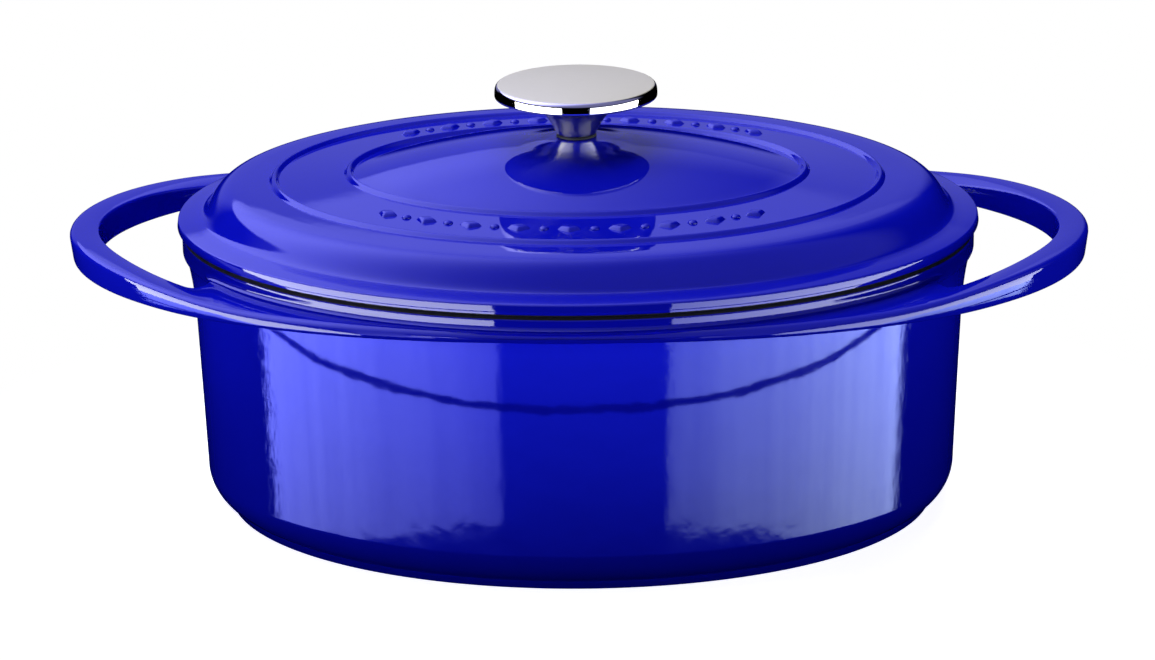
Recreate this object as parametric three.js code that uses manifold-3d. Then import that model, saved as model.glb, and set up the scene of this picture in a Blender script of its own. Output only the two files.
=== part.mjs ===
// Oval enamelled cast iron dutch oven: a pot cast with its belt and two loop handles, a fitted lid,
// and a steel knob screwed on from under the lid. Millimetres, +Z up, X along the loop handles.
// Origin: on the table, under the middle of the foot ring.
import * as THREE from 'three';
import { mergeVertices } from 'three/addons/utils/BufferGeometryUtils.js';
import Module from 'manifold-3d';

// ---- driving dimensions ----

// Ovals. A named half length is measured along X; the half width is this much shorter.
const ovalShortfall = 29.7;
const ringShortfall = 24;
const ovalSegments = 64;
const clearance = 0.3;

// Pot. Its half length is taken where the wall meets the bottom corner.
const potHeight = 106.9;
const wallHalfLength = 140.85;
const wallDraft = 0.037;
const wallThickness = 4;
const baseThickness = 4.4;
const outerCornerRadius = 14;
const innerCornerRadius = 10;
const footInset = 7;
const footHeight = 1.6;
const footWidth = 6.5;
const footBreak = 0.5;
const flareDepth = 25;
const flareReach = 2;
const flareEndX = 138;
const flareBlend = 20;
const rimOverhang = 1.2;
const rimSkirt = 2.1;
const rimWidth = 6.2;
const rimRound = 2.8;
const mouthRound = 0.8;

// Belt under the rim, and the loops that it runs out into.
const beltDepth = 6;
const beltThickness = 3.5;
const beltReach = 2.1;
const loopReach = 42.4;
const loopRise = 5.7;
const loopRiseRun = 92;
const webRun = 28;
const loopDrop = 2.1;
const barWidthAtEnd = 11.2;
const barWidthAtSide = 14;
const barEdgeRound = 1.6;
const loopCornerRadius = 8;
const loopCornerInset = 15;

// Lid.
const lidOverhang = 1.6;
const lidEdgeHeight = 4.1;
const lidEdgeRound = 1.2;
const flangeWidth = 8.6;
const flangeRise = 1.3;
const shoulderWidth = 13.4;
const shoulderRise = 10.9;
const outerBandWidth = 14.4;
const outerBandRise = 0.8;
const innerBandWidth = 27.8;
const innerBandRise = 2.2;
const ringWidth = 5.4;
const ringRelief = 1.5;
const domeRise = 11.8;
const domeSharpness = 1.7;
const lidThickness = 4.2;
const lipDepth = 4.8;
const lipWidth = 3.2;
const lipClearance = 1.4;
const lipTaper = 0.6;
const bossRadius = 9.2;
const bossHeight = 1;
const bossDraft = 0.8;

// Raised ornament between the two rings, at the front and at the back.
const lozengeCount = 9;
const lozengePitch = 18;
const lozengeLength = 12;
const lozengeWidth = 8.4;
const ornamentRelief = 1.1;
const beadRadius = 1.8;

// Drip nubs under the lid, in oval rows.
const nubPitch = 30;
const nubRadius = 3;
const nubDepth = 2.6;

// Knob and its fixing.
const threadRadius = 3;
const screwHolePlay = 0.6;
const gasketThickness = 0.6;
const gasketWidth = 3.8;
const stemRadius = 7.1;
const stemHeight = 14.2;
const stemWall = 1.2;
const capRadius = 30.1;
const capHeight = 4.6;
const capSheet = 1;
const capBevelWidth = 1.3;
const capBevelDepth = 2.2;
const bushHeight = 11.5;
const screwReach = 10;
const headRadius = 6;
const headHeight = 3.8;
const recessWidth = 1.5;
const recessSpan = 7;
const recessDepth = 2;
const washerWidth = 3.2;
const washerThickness = 1.2;
const springWidth = 2.3;
const springThickness = 1.6;
const springSlit = 0.9;

// ---- derived heights and ovals ----

const cornerHeight = footHeight + outerCornerRadius;
const wallOuterAt = (z) => wallHalfLength + wallDraft * (z - cornerHeight);
const beltTop = potHeight - beltDepth;
const beltBottom = beltTop - beltThickness;
const rimHalfLength = wallOuterAt(beltTop) + flareReach + rimOverhang;
const mouthHalfLength = rimHalfLength - rimWidth;
const footHalfLength = wallHalfLength - footInset;
const floorHeight = footHeight + baseThickness;
const beltHalfWidth = rimHalfLength - ovalShortfall + beltReach;
const loopHalfLength = rimHalfLength + loopReach;

const lidSeat = potHeight + clearance;
const lidHalfLength = rimHalfLength + lidOverhang;
const lidEdgeTop = lidSeat + lidEdgeHeight;
const flangeFoot = lidHalfLength - flangeWidth;
const flangeTop = lidEdgeTop + flangeRise;
const shoulderHalfLength = flangeFoot - shoulderWidth;
const shoulderTop = flangeTop + shoulderRise;
const outerRingHalfLength = shoulderHalfLength - outerBandWidth;
const outerRingBase = shoulderTop + outerBandRise;
const innerRingHalfLength = outerRingHalfLength - innerBandWidth;
const innerRingBase = outerRingBase + innerBandRise;
const domeHalfLength = innerRingHalfLength - ringWidth / 2;
const domeTop = innerRingBase + domeRise;
const seatRadius = bossRadius + bossDraft;
const bossTop = domeTop + bossHeight;
const lidUnderside = domeTop - lidThickness;

const screwHoleRadius = threadRadius + screwHolePlay;
const threadedHoleRadius = threadRadius + clearance;
const gasketBase = bossTop + clearance;
const stemBase = gasketBase + gasketThickness + clearance;
const stemFloorTop = stemBase + stemWall;
const capBase = stemBase + stemHeight;
const capTop = capBase + capHeight;
const flatWasherBase = lidUnderside - clearance - washerThickness;
const springWasherBase = flatWasherBase - clearance - springThickness;
const headTop = springWasherBase - clearance;

// ---- helpers ----

const wasm = await Module();
wasm.setup();

const point = (r, z) => new THREE.Vector2(r, z);

// Points on a round corner: centre, radius, start and end angle in degrees.
function corner(r, z, radius, from, to, steps = 4) {
  return Array.from({ length: steps + 1 }, (_, i) => {
    const angle = THREE.MathUtils.degToRad(from + ((to - from) * i) / steps);
    return point(r + radius * Math.cos(angle), z + radius * Math.sin(angle));
  });
}

// A lathe about Z whose profile runs from bottom to top on the outside.
function lathe(profile, segments = 32) {
  return new THREE.LatheGeometry(profile, segments).rotateX(Math.PI / 2);
}

// A lathe squeezed in Y, so that a radius r becomes an oval of half length r and half width r - shortfall(r).
function ovalLathe(profile, shortfall) {
  const geometry = lathe(profile, ovalSegments);
  const position = geometry.attributes.position;
  for (let i = 0; i < position.count; i += 1) {
    const r = Math.hypot(position.getX(i), position.getY(i));
    const squeeze = r > 0 ? 1 - shortfall(r, position.getZ(i)) / r : 1;
    position.setY(i, position.getY(i) * squeeze);
  }
  return geometry;
}

function solid(geometry) {
  const bare = geometry.clone();
  bare.deleteAttribute('normal');
  bare.deleteAttribute('uv');
  const merged = mergeVertices(bare, 1e-4);
  const vertProperties = new Float32Array(merged.attributes.position.array);
  const triVerts = new Uint32Array(merged.index.array);
  return new wasm.Manifold(new wasm.Mesh({ numProp: 3, vertProperties, triVerts }));
}

function geometryOf(manifold) {
  const mesh = manifold.getMesh();
  const geometry = new THREE.BufferGeometry();
  geometry.setAttribute('position', new THREE.BufferAttribute(new Float32Array(mesh.vertProperties), 3));
  geometry.setIndex(new THREE.BufferAttribute(new Uint32Array(mesh.triVerts), 1));
  geometry.computeVertexNormals();
  return geometry;
}

// A flat ring between two radii, from bottom to top.
function ring(inner, outer, bottom, top) {
  const profile = [point(inner, bottom), point(outer, bottom), point(outer, top), point(inner, top)];
  return lathe([...profile, point(inner, bottom)], 24);
}

// ---- pot ----

// All of the pot's ovals run parallel to its wall; inside this half length the floor closes to the middle.
const floorBlend = 60;
const potShortfall = (r) => ovalShortfall * Math.min(1, r / floorBlend);

function potOutside() {
  const cornerCentre = wallHalfLength - outerCornerRadius;
  const footAngle = -THREE.MathUtils.radToDeg(Math.acos((footHalfLength - cornerCentre) / outerCornerRadius));
  const footInner = footHalfLength - footWidth;
  const rimFoot = beltTop - rimSkirt;
  const underRim = rimFoot - rimOverhang;
  const flare = new THREE.QuadraticBezierCurve(
    point(wallOuterAt(underRim - flareDepth), underRim - flareDepth),
    point(wallOuterAt(underRim - flareDepth * 0.35), underRim - flareDepth * 0.35),
    point(rimHalfLength - rimOverhang, underRim),
  );
  const outside = ovalLathe([
    point(0, footHeight),
    point(footInner - footHeight, footHeight),
    point(footInner, 0),
    point(footHalfLength - footBreak, 0),
    point(footHalfLength, footBreak),
    ...corner(cornerCentre, cornerHeight, outerCornerRadius, footAngle, 0, 5),
    ...flare.getPoints(3),
    point(rimHalfLength, rimFoot),
    ...corner(rimHalfLength - rimRound, potHeight - rimRound, rimRound, 0, 90, 3),
    point(0, potHeight),
  ], potShortfall);
  // The wall flares out only at the ends, under the loops. Along the sides it runs straight up to the belt.
  const position = outside.attributes.position;
  for (let i = 0; i < position.count; i += 1) {
    const [x, y, z] = [position.getX(i), position.getY(i), position.getZ(i)];
    const beyondWall = Math.hypot(x / wallOuterAt(z), y / (wallOuterAt(z) - ovalShortfall));
    if (beyondWall > 1 && z > underRim - flareDepth && z < underRim + 0.1) {
      const along = THREE.MathUtils.clamp((flareEndX - Math.abs(x)) / flareBlend, 0, 1);
      const scale = THREE.MathUtils.lerp(1, 1 / beyondWall, along);
      position.setXY(i, x * scale, y * scale);
    }
  }
  return outside;
}

function potCavity() {
  const cornerTop = floorHeight + innerCornerRadius;
  const cornerCentre = wallOuterAt(cornerTop) - wallThickness - innerCornerRadius;
  const above = potHeight + mouthRound;
  return ovalLathe([
    point(0, floorHeight),
    ...corner(cornerCentre, cornerTop, innerCornerRadius, -90, 0, 4),
    point(mouthHalfLength, potHeight - mouthRound),
    point(mouthHalfLength + mouthRound, potHeight),
    point(mouthHalfLength + mouthRound, above),
    point(0, above),
  ], potShortfall);
}

// A loop's finger opening: an arc parallel to the loop's outside, two round corners, and a side that
// lies hidden inside the pot's wall.
function loopOpening(side) {
  const wallA = wallOuterAt(beltBottom) - wallThickness / 2;
  const openingA = loopHalfLength - barWidthAtEnd;
  const openingB = beltHalfWidth - barWidthAtSide;
  const cornerX = rimHalfLength - loopCornerInset;
  const arcEnd = Math.acos((cornerX + 0.75 * loopCornerRadius) / openingA);
  const wallEnd = Math.acos(cornerX / wallA);
  const arc = new THREE.EllipseCurve(0, 0, openingA, openingB, 0, arcEnd);
  const wall = new THREE.EllipseCurve(0, 0, wallA, wallA - ovalShortfall, 0, wallEnd);
  const handle = (curve) => curve.getPoint(1).addScaledVector(curve.getTangent(1), loopCornerRadius);
  const bend = new THREE.CubicBezierCurve(arc.getPoint(1), handle(arc), handle(wall), wall.getPoint(1));
  const upper = [...arc.getPoints(10), ...bend.getPoints(5).slice(1), ...wall.getPoints(3).reverse().slice(1)];
  const lower = upper.slice(1, -1).reverse().map((p) => point(p.x, -p.y));
  return new THREE.Path([...upper, ...lower].map((p) => point(side * p.x, p.y)));
}

// How far a point of the plan lies outside the rim, along the line from the middle.
function outsideRim(x, y) {
  const share = Math.hypot(x / rimHalfLength, y / (rimHalfLength - ovalShortfall));
  return Math.hypot(x, y) * (1 - 1 / share);
}

// Belt and loops as one plate with rounded edges, open over the pot's mouth. Its underside is nearly
// level. Its top stays level beside the rim and climbs outwards and along the loops.
function beltAndLoops() {
  const oval = (a, b, n) => new THREE.EllipseCurve(0, 0, a, b).getPoints(n).slice(1);
  const shape = new THREE.Shape(oval(loopHalfLength, beltHalfWidth, ovalSegments));
  const middle = mouthHalfLength - rimWidth;
  shape.holes.push(loopOpening(1), loopOpening(-1), new THREE.Path(oval(middle, middle - ovalShortfall, 32)));
  const geometry = new THREE.ExtrudeGeometry(shape, {
    depth: beltThickness - barEdgeRound,
    bevelThickness: barEdgeRound / 2,
    bevelSize: barEdgeRound,
    bevelOffset: -barEdgeRound,
    bevelSegments: 2,
  });
  const { smoothstep } = THREE.MathUtils;
  const position = geometry.attributes.position;
  for (let i = 0; i < position.count; i += 1) {
    const x = Math.abs(position.getX(i));
    const climb = smoothstep(x, loopHalfLength - loopRiseRun, loopHalfLength)
      * smoothstep(outsideRim(x, position.getY(i)), 0, webRun);
    const bottom = beltBottom - loopDrop * Math.min(1, x / mouthHalfLength);
    const top = beltTop + loopRise * climb;
    const share = (position.getZ(i) + barEdgeRound / 2) / beltThickness;
    position.setZ(i, bottom + share * (top - bottom));
  }
  return geometry;
}

function potCasting() {
  return geometryOf(solid(potOutside()).add(solid(beltAndLoops())).subtract(solid(potCavity())));
}

// ---- lid ----

// The lid's seat, lip and edge run parallel to the pot's rim; its panels grow rounder towards the knob.
function lidShortfall(r, z = lidUnderside) {
  const { lerp, inverseLerp } = THREE.MathUtils;
  if (r >= flangeFoot || z < lidSeat + clearance) return ovalShortfall;
  if (r >= shoulderHalfLength) {
    return lerp(ringShortfall, ovalShortfall, inverseLerp(shoulderHalfLength, flangeFoot, r));
  }
  if (r >= innerRingHalfLength) return ringShortfall;
  return ringShortfall * Math.max(0, inverseLerp(seatRadius, innerRingHalfLength, r));
}

// Height of the lid's upper face inside the outer ring, the ring bumps left out.
function panelAt(r) {
  if (r > innerRingHalfLength) return outerRingBase + innerBandRise * (outerRingHalfLength - r) / innerBandWidth;
  const out = THREE.MathUtils.clamp((r - seatRadius) / (domeHalfLength - seatRadius), 0, 1);
  return domeTop - domeRise * out ** domeSharpness;
}

// The S-shaped rise from the flange to the top of the shoulder.
const shoulderCurve = new THREE.CubicBezierCurve(
  point(flangeFoot, flangeTop),
  point(flangeFoot - shoulderWidth * 0.28, flangeTop + shoulderRise * 0.06),
  point(flangeFoot - shoulderWidth * 0.36, shoulderTop - shoulderRise * 0.05),
  point(shoulderHalfLength, shoulderTop),
);

const ringBump = (r, base) => [
  point(r + ringWidth / 2, base),
  point(r + ringWidth / 5, base + ringRelief),
  point(r - ringWidth / 5, base + ringRelief),
  point(r - ringWidth / 2, base),
];

// Points on the dome from its foot inwards, lowered by a depth.
function domePoints(steps, depth) {
  return Array.from({ length: steps }, (_, i) => {
    const r = THREE.MathUtils.lerp(domeHalfLength, seatRadius, (i + 1) / (steps + 1));
    return point(r, panelAt(r) - depth);
  });
}

function lidTop() {
  return [
    point(lidHalfLength - lidEdgeRound / 2, lidSeat),
    point(lidHalfLength, lidSeat + lidEdgeRound / 2),
    point(lidHalfLength, lidEdgeTop - lidEdgeRound),
    point(lidHalfLength - lidEdgeRound, lidEdgeTop),
    ...shoulderCurve.getPoints(5),
    ...ringBump(outerRingHalfLength, outerRingBase),
    ...ringBump(innerRingHalfLength, innerRingBase),
    ...domePoints(4, 0),
    point(seatRadius, domeTop),
    point(bossRadius, bossTop),
  ];
}

function lidBottom() {
  const lipOuter = mouthHalfLength - lipClearance;
  const lipInner = lipOuter - lipWidth;
  const lipBottom = lidSeat - lipDepth;
  const underShoulder = shoulderCurve.getPoint(0.5).sub(point(lidThickness * 0.75, lidThickness * 0.65));
  return [
    point(seatRadius, lidUnderside),
    ...domePoints(3, lidThickness).reverse(),
    point(domeHalfLength, innerRingBase - lidThickness),
    point(outerRingHalfLength, outerRingBase - lidThickness),
    point(shoulderHalfLength, shoulderTop - lidThickness),
    underShoulder,
    point(lipInner, lidSeat),
    point(lipInner + lipTaper, lipBottom),
    point(lipOuter - lipTaper, lipBottom),
    point(lipOuter, lidSeat - lipTaper),
    point(lipOuter + lipTaper, lidSeat),
  ];
}

// Low lozenges with beads between them, along the band at the front and at the back.
function ornament() {
  const a = (outerRingHalfLength + innerRingHalfLength) / 2;
  const b = a - ringShortfall;
  const sink = ringRelief;
  const lozenge = new THREE.CylinderGeometry(0.22, 0.5, 1, 4).rotateX(Math.PI / 2);
  const lozengeSize = [lozengeLength, lozengeWidth, ornamentRelief + sink];
  const bead = new THREE.SphereGeometry(beadRadius, 6, 4).rotateX(Math.PI / 2);
  const beadSize = [1, 1, ornamentRelief / beadRadius];
  const place = (geometry, size, angle, face) => {
    const turn = Math.atan2(-b * Math.sin(angle), a * Math.cos(angle));
    const centre = [a * Math.sin(angle), face * b * Math.cos(angle), panelAt(a)];
    return geometry.clone().scale(...size).rotateZ(face * turn).translate(...centre);
  };
  return Array.from({ length: 2 * lozengeCount - 1 }, (_, i) => {
    const angle = ((i - lozengeCount + 1) * lozengePitch) / 2 / a;
    const shape = i % 2 === 0 ? [lozenge, lozengeSize] : [bead, beadSize];
    return [1, -1].map((face) => place(...shape, angle, face));
  }).flat();
}

// Short tapered nubs that drip condensed steam back onto the food.
function dripNubs() {
  const sink = lidThickness / 4;
  const height = nubDepth + sink;
  const nub = new THREE.CylinderGeometry(nubRadius, nubRadius / 2, height, 6).rotateX(Math.PI / 2);
  const rows = [];
  for (let a = (outerRingHalfLength + innerRingHalfLength) / 2; a > seatRadius + nubPitch / 2; a -= nubPitch) {
    const b = a - lidShortfall(a);
    const count = Math.round((Math.PI * (a + b)) / nubPitch);
    const middle = panelAt(a) - lidThickness + sink - height / 2;
    for (let i = 0; i < count; i += 1) {
      const angle = (2 * Math.PI * (i + 0.5)) / count;
      rows.push(nub.clone().translate(a * Math.cos(angle), b * Math.sin(angle), middle));
    }
  }
  return rows;
}

function lidCasting() {
  const hole = [point(screwHoleRadius, bossTop), point(screwHoleRadius, lidUnderside)];
  const outline = [...lidTop(), ...hole, ...lidBottom()];
  const shell = solid(ovalLathe([...outline, outline[0].clone()], lidShortfall));
  const extras = [...ornament(), ...dripNubs()].map(solid);
  return geometryOf(extras.reduce((sum, extra) => sum.add(extra), shell));
}

// ---- knob and fixing ----

// A pressed cup with a rounded edge, open below.
function knobCap() {
  const inner = capRadius - capSheet;
  const face = capRadius - capBevelWidth;
  return lathe([
    point(0, capTop - capSheet),
    point(face - capSheet, capTop - capSheet),
    point(inner, capTop - capBevelDepth),
    point(inner, capBase),
    point(capRadius - capSheet * 0.7, capBase),
    point(capRadius, capBase + capSheet),
    point(capRadius, capTop - capBevelDepth),
    point(capRadius - capBevelWidth * 0.35, capTop - capBevelDepth * 0.35),
    point(face, capTop),
    point(0, capTop),
  ]);
}

// The stem flares like a trumpet, from the gasket to a brim inside the cap.
function knobStem() {
  const brim = capRadius - capSheet - clearance;
  const brimBottom = capBase + clearance;
  const flareAt = (r, z) => new THREE.CubicBezierCurve(
    point(stemRadius + r, stemBase + z),
    point(stemRadius + r + stemHeight * 0.23, stemBase + z + stemHeight * 0.46),
    point(stemRadius + r + stemHeight * 0.42, brimBottom + z - stemHeight * 0.21),
    point(brim - 2 * stemWall + r, brimBottom + z),
  ).getPoints(7);
  const profile = [
    point(screwHoleRadius, stemBase),
    ...flareAt(0, 0),
    point(brim, brimBottom),
    point(brim, brimBottom + stemWall),
    ...flareAt(-stemWall, stemWall).reverse(),
    point(screwHoleRadius, stemFloorTop),
  ];
  return lathe([...profile, profile[0].clone()]);
}

function knobScrew() {
  const bottom = headTop - headHeight;
  const tip = stemFloorTop + screwReach;
  const tipBreak = threadRadius / 3;
  const head = corner(0, headTop - headHeight / 2, 1, -90, 0, 4).map(({ x, y }) => {
    const drop = (y - headTop + headHeight / 2) * headHeight / 2;
    return point(x * headRadius, headTop - headHeight / 2 + drop);
  });
  const body = solid(lathe([
    ...head,
    point(headRadius, headTop),
    point(threadRadius, headTop),
    point(threadRadius, tip - tipBreak),
    point(threadRadius - tipBreak, tip),
    point(0, tip),
  ], 24));
  const slot = (x, y) => solid(new THREE.BoxGeometry(x, y, 2 * recessDepth).translate(0, 0, bottom));
  return geometryOf(body.subtract(slot(recessSpan, recessWidth)).subtract(slot(recessWidth, recessSpan)));
}

// A split ring, flat here as it is when the screw is tight.
function springWasher() {
  const slit = Math.asin(springSlit / 2 / threadedHoleRadius);
  const shape = new THREE.Shape();
  shape.absarc(0, 0, threadedHoleRadius + springWidth, slit, 2 * Math.PI - slit, false);
  shape.absarc(0, 0, threadedHoleRadius, 2 * Math.PI - slit, slit, true);
  const options = { depth: springThickness, bevelEnabled: false, curveSegments: 12 };
  return new THREE.ExtrudeGeometry(shape, options).translate(0, 0, springWasherBase);
}

function knobGasket() {
  return ring(screwHoleRadius, screwHoleRadius + gasketWidth, gasketBase, gasketBase + gasketThickness);
}

function knobBush() {
  const base = stemFloorTop + clearance;
  return ring(threadedHoleRadius, stemRadius - stemWall - clearance, base, base + bushHeight);
}

function flatWasher() {
  const outer = threadedHoleRadius + washerWidth;
  return ring(threadedHoleRadius, outer, flatWasherBase, flatWasherBase + washerThickness);
}

// ---- materials and scene ----

const finish = (color, roughness, metalness) => new THREE.MeshStandardMaterial({ color, roughness, metalness });

function piece(name, geometry, material) {
  const mesh = new THREE.Mesh(geometry, material);
  mesh.name = name;
  return mesh;
}

const lid = new THREE.Group();
lid.add(
  piece('lid_casting', lidCasting(), finish('#0a10c0', 0.12, 0)),
  piece('knob_gasket', knobGasket(), finish('#151515', 0.8, 0)),
  piece('knob_stem', knobStem(), finish('#c9cacc', 0.08, 1)),
  piece('knob_cap', knobCap(), finish('#c6c6c8', 0.25, 1)),
  piece('knob_bush', knobBush(), finish('#b9bbbd', 0.4, 1)),
  piece('knob_screw', knobScrew(), finish('#bcbec0', 0.3, 1)),
  piece('spring_washer', springWasher(), finish('#8d9094', 0.4, 1)),
  piece('flat_washer', flatWasher(), finish('#bcbec0', 0.35, 1)),
);

const dutchOven = new THREE.Group();
dutchOven.add(piece('pot_casting', potCasting(), finish('#0a10c0', 0.12, 0)), lid);

export default dutchOven;
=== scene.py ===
import math

import bmesh
import bpy
from mathutils import Matrix, Vector
from mathutils.geometry import interpolate_bezier


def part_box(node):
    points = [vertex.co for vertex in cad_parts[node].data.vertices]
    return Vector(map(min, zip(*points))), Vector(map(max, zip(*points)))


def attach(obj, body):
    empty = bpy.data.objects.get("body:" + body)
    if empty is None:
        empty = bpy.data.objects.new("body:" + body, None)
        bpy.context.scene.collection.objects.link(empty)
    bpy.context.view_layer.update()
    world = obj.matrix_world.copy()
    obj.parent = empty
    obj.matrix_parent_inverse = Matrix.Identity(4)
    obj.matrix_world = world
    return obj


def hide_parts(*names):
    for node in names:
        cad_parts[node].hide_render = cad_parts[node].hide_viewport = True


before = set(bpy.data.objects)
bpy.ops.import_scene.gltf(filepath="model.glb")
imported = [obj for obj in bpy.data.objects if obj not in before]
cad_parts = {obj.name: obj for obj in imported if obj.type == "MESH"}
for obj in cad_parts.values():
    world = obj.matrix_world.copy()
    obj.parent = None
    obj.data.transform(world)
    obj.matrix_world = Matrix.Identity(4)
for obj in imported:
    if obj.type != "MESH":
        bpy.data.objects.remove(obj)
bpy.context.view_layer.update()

# Sizes are in millimetres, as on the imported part. Each piece is scaled to metres when it is finished.


# ---- Camera, lamps and the table ----
# The pot stands on a pale table in a studio. Two tall soft boxes stand left and right of the camera, a
# broad soft lamp hangs overhead, and the room behind the camera is dark.

view_azimuth = 2.21
view_elevation = 17.38
view_distance = 1.5
view_pitch = 17.97
view_roll = -0.72
view_turn = 0.02
view_target = Vector((0, 0, 0.08))

azimuth = math.radians(view_azimuth)
elevation = math.radians(view_elevation)
away = Vector((
    math.sin(azimuth) * math.cos(elevation), -math.cos(azimuth) * math.cos(elevation), math.sin(elevation),
))
camera_data = bpy.data.cameras.new("camera")
camera_data.sensor_width = 36
camera_data.lens = 124.8
camera = bpy.data.objects.new("camera", camera_data)
camera.location = view_target + away * view_distance
heading = Matrix.Rotation(math.radians(view_azimuth + view_turn), 4, "Z")
tilt = Matrix.Rotation(math.radians(90 - view_pitch), 4, "X")
camera.rotation_euler = (heading @ tilt @ Matrix.Rotation(math.radians(view_roll), 4, "Z")).to_euler()
bpy.context.scene.collection.objects.link(camera)
bpy.context.scene.camera = camera
bpy.context.scene.view_settings.view_transform = "Standard"


def hex_colour(code):
    """An sRGB hex colour as linear red, green, blue and alpha."""
    shares = [int(code[i:i + 2], 16) / 255 for i in (1, 3, 5)]
    return [s / 12.92 if s <= 0.04045 else ((s + 0.055) / 1.055) ** 2.4 for s in shares] + [1]


def add_node(tree, kind, inputs=None, **settings):
    """Adds a node, sets it, and sets its inputs or links them to a socket or a node's first output."""
    node = tree.nodes.new(kind)
    for name, value in settings.items():
        setattr(node, name, value)
    for name, value in (inputs or {}).items():
        if isinstance(value, bpy.types.Node):
            value = value.outputs[0]
        if isinstance(value, bpy.types.NodeSocket):
            tree.links.new(value, node.inputs[name])
        else:
            node.inputs[name].default_value = value
    return node


def empty_tree(owner):
    """A material or world with its node tree cleared."""
    owner.use_nodes = True
    owner.node_tree.nodes.clear()
    return owner.node_tree


def area_lamp(name, place, target, size, brightness):
    """A rectangular lamp of a given radiance that lights surfaces without showing in them."""
    data = bpy.data.lights.new(name, "AREA")
    data.shape = "RECTANGLE"
    data.size, data.size_y = size
    data.energy = brightness * math.pi * size[0] * size[1]
    lamp = bpy.data.objects.new(name, data)
    lamp.location = place
    lamp.rotation_euler = (Vector(target) - Vector(place)).to_track_quat("-Z", "Y").to_euler()
    lamp.visible_camera = False
    lamp.visible_glossy = False
    bpy.context.scene.collection.objects.link(lamp)


# Two lamps fill the soft boxes, which reach below the table's level, and one hangs overhead. The table's
# top keeps the light of the lower halves off the foot of the pot.
soft_box_size = (1.4, 1.25)
soft_box_target = (0, 0, -0.3)
area_lamp("lamp_left", (-1.06, -0.57, -0.35), soft_box_target, soft_box_size, brightness=3.2)
area_lamp("lamp_right", (1.08, -0.54, -0.35), soft_box_target, soft_box_size, brightness=2.35)
area_lamp("lamp_overhead", (-0.3, 0.3, 1.25), (0, 0, 0.1), (1.6, 1.2), brightness=3.3)


def stage_object(name, bm, material):
    """A thing around the pot that only its gloss can see."""
    mesh = bpy.data.meshes.new(name)
    bm.to_mesh(mesh)
    bm.free()
    mesh.materials.append(material)
    thing = bpy.data.objects.new(name, mesh)
    bpy.context.scene.collection.objects.link(thing)
    thing.visible_camera = False
    thing.visible_diffuse = False
    thing.visible_shadow = False
    return thing


screen_radius = 1.2
screen_top = 0.25
table_line = -0.315
screen_foot = -0.84
near_turn, far_turn = 0.35, 1.15


def turned_share(tree):
    """How far a point of a screen stands aside, from 0 near the camera to 1 at the screen's far edge."""
    place = add_node(tree, "ShaderNodeTexCoord")
    axes = add_node(tree, "ShaderNodeSeparateXYZ", {"Vector": place.outputs["Object"]})
    aside = add_node(tree, "ShaderNodeMath", {0: axes.outputs["X"]}, operation="ABSOLUTE")
    share = add_node(tree, "ShaderNodeMapRange", {
        "Value": aside, "From Min": near_turn, "From Max": far_turn,
    })
    return place, axes, share


def lit_cloth(name, near, far):
    """Soft box cloth between a colour and strength near the camera and those at its far edge."""
    material = bpy.data.materials.new(name)
    tree = empty_tree(material)
    share = turned_share(tree)[2]
    colour = add_node(tree, "ShaderNodeMix", {
        "Factor": share, "A": hex_colour(near[0]), "B": hex_colour(far[0]),
    }, data_type="RGBA")
    level = add_node(tree, "ShaderNodeMapRange", {"Value": share, "To Min": near[1], "To Max": far[1]})
    glow = add_node(tree, "ShaderNodeEmission", {"Color": colour.outputs["Result"], "Strength": level})
    add_node(tree, "ShaderNodeOutputMaterial", {"Surface": glow})
    material.cycles.emission_sampling = "NONE"
    return material


# The table's polished top isn't quite flat, so the painted reflection of the soft boxes in it has ragged
# sides, and is mottled and streaked.
ripple_height = 0.0018
ripple_width = 0.022
ragged_near, ragged_far = 0.12, 0.34
folds_per_metre = (7, 7, 1.5)
edge_blur = 0.012
foot_blur = 0.002
mirror_foot = -0.481
fade_top = -0.33
dimmest, brightest = 0.85, 1.15

# Below the table's line the gloss sees a painted reflection of the table: deep blue, darkened downwards by
# painted shade.
painted_blue_reflection_foot = -0.53
painted_blue_reflection_peak = 7.2
painted_blue_reflection_colour = "#1c28ff"


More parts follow.
